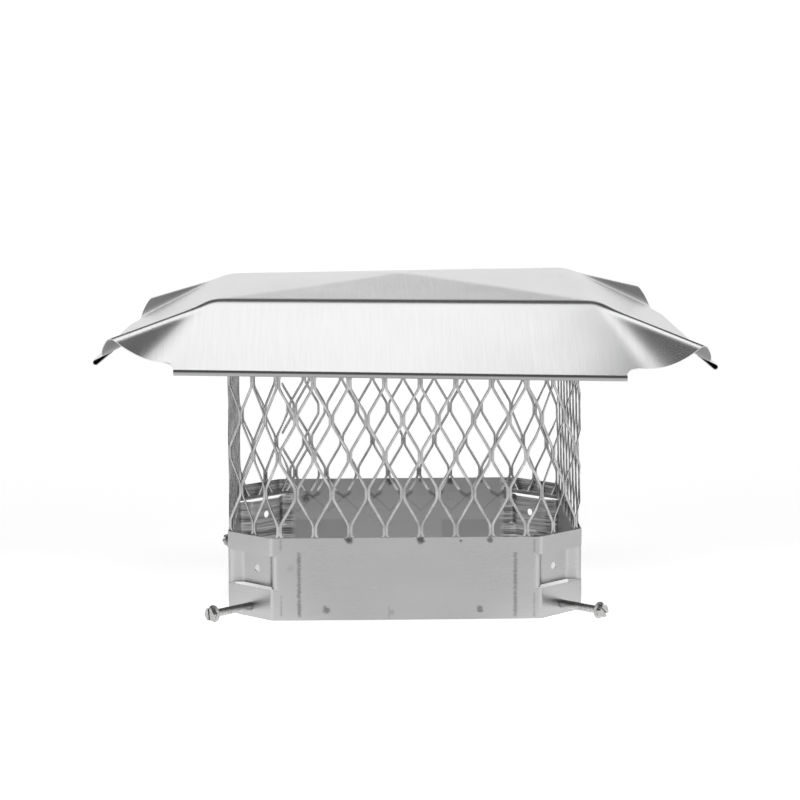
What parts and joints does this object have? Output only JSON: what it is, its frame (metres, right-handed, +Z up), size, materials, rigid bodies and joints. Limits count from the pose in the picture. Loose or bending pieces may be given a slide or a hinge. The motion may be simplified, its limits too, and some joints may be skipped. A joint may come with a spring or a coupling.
{
  "type": "chimney cap",
  "caption": "Bolt-on chimney cap: creased sheet hood with drawn corner ears over an expanded-metal screen, on a bevelled collar with pressed stop pads and clamp screws.",
  "frame": {"origin": "centre of the collar's bottom opening, level with its lower edge", "axes": "+Z up through the hood, -Y to the front of the picture, +X to its right"},
  "size_m": [0.4016, 0.4016, 0.2192],
  "materials": {
    "bright_sheet": "bright rolled stainless sheet with a faint grain",
    "satin_sheet": "satin rolled stainless sheet with press marks",
    "expanded_metal": "sheared stainless strands, mill finish",
    "screw_steel": "plain stainless, cold formed and rolled",
    "nut_steel": "plain stainless, machined"
  },
  "bodies": {
    "cap": {"collar": "satin_sheet", "screen": "expanded_metal", "hood": "bright_sheet", "clamp_nut_front_left": "nut_steel", "clamp_nut_front_right": "nut_steel", "clamp_nut_back_left": "nut_steel", "clamp_nut_back_right": "nut_steel"},
    "screw_front_left": {"clamp_screw_front_left": "screw_steel"},
    "screw_front_right": {"clamp_screw_front_right": "screw_steel"},
    "screw_back_left": {"clamp_screw_back_left": "screw_steel"},
    "screw_back_right": {"clamp_screw_back_right": "screw_steel"}
  },
  "joints": [
    {"name": "drive_front_left", "type": "slide", "parent": "cap", "child": "screw_front_left", "axis": [0.7071, 0.7071, 0], "range_m": [-0.013, 0.03]},
    {"name": "drive_front_right", "type": "slide", "parent": "cap", "child": "screw_front_right", "axis": [-0.7071, 0.7071, 0], "range_m": [-0.013, 0.03]},
    {"name": "drive_back_left", "type": "slide", "parent": "cap", "child": "screw_back_left", "axis": [0.7071, -0.7071, 0], "range_m": [-0.013, 0.03]},
    {"name": "drive_back_right", "type": "slide", "parent": "cap", "child": "screw_back_right", "axis": [-0.7071, -0.7071, 0], "range_m": [-0.013, 0.03]}
  ]
}
